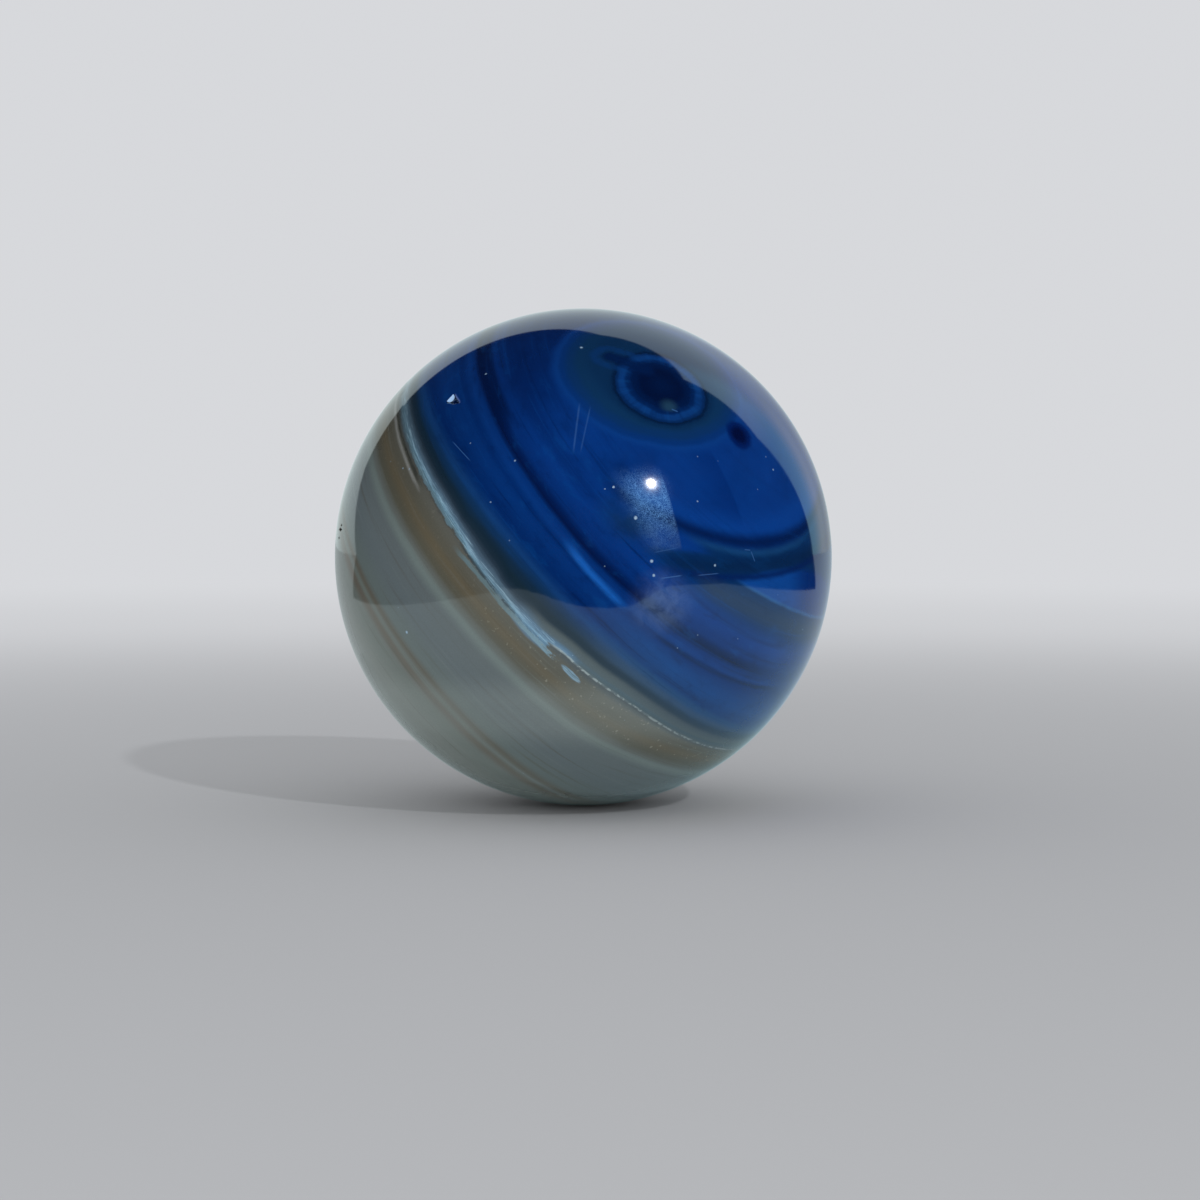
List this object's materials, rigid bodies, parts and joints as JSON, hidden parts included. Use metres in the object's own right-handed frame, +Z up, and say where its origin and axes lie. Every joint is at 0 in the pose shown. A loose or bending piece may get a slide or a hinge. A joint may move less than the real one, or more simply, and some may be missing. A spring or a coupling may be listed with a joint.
{
  "type": "agate sphere",
  "caption": "Polished ball of blue and grey-brown banded agate with small natural pits, for display in a ring or cup stand.",
  "frame": {"origin": "centre of the ball", "axes": "+Z up as displayed, -Y towards the viewer of the front, +X to that viewer's right"},
  "size_m": [0.05, 0.05, 0.05],
  "materials": {
    "polished_agate": "polished"
  },
  "bodies": {
    "root": {"agate_ball": "polished_agate"}
  },
  "joints": []
}
